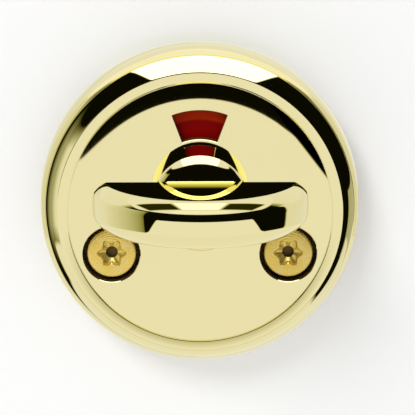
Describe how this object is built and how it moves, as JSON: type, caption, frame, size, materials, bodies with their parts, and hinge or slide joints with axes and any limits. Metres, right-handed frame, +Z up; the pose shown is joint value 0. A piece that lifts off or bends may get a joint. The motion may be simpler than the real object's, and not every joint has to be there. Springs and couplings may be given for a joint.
{
  "type": "bathroom thumb turn lock",
  "caption": "Round brass rose with a half-moon wing knob that turns a square spindle, a coloured occupied window above the knob and screws that go through the door.",
  "frame": {"origin": "turn axis where it meets the door's face, which is the plane of the rose's back", "axes": "+Z up the door, +Y into the door along the spindle, +X to the right as seen from the room"},
  "size_m": [0.055, 0.0851, 0.055],
  "materials": {
    "polished_brass": "polished",
    "yellow_plated_steel": "satin",
    "zinc_plated_steel": "satin",
    "spring_steel": "satin",
    "dark_steel": "satin",
    "nylon": "matte",
    "red_field": "gloss",
    "white_field": "gloss"
  },
  "bodies": {
    "rose": {"back_plate": "zinc_plated_steel", "detent_spring": "spring_steel", "fixing_screw_left": "yellow_plated_steel", "fixing_screw_right": "yellow_plated_steel", "front_bush": "nylon", "plate_screw_1": "zinc_plated_steel", "plate_screw_2": "zinc_plated_steel", "plate_screw_3": "zinc_plated_steel", "rear_bush": "nylon", "rose": "polished_brass", "stop_pin": "dark_steel"},
    "turn": {"detent_cam": "dark_steel", "indicator_disc": "zinc_plated_steel", "occupied_field": "red_field", "retaining_ring": "spring_steel", "spindle": "zinc_plated_steel", "spindle_set_screw": "dark_steel", "spring_washer": "spring_steel", "thrust_washer": "zinc_plated_steel", "thumb_turn": "polished_brass", "vacant_field": "white_field"}
  },
  "joints": [
    {"name": "thumb_turn_lock", "type": "hinge", "parent": "rose", "child": "turn", "pos_m": [0, 0, 0], "axis": [0, 1, 0], "range_deg": [0, 90], "deforming": ["detent_spring"]}
  ]
}
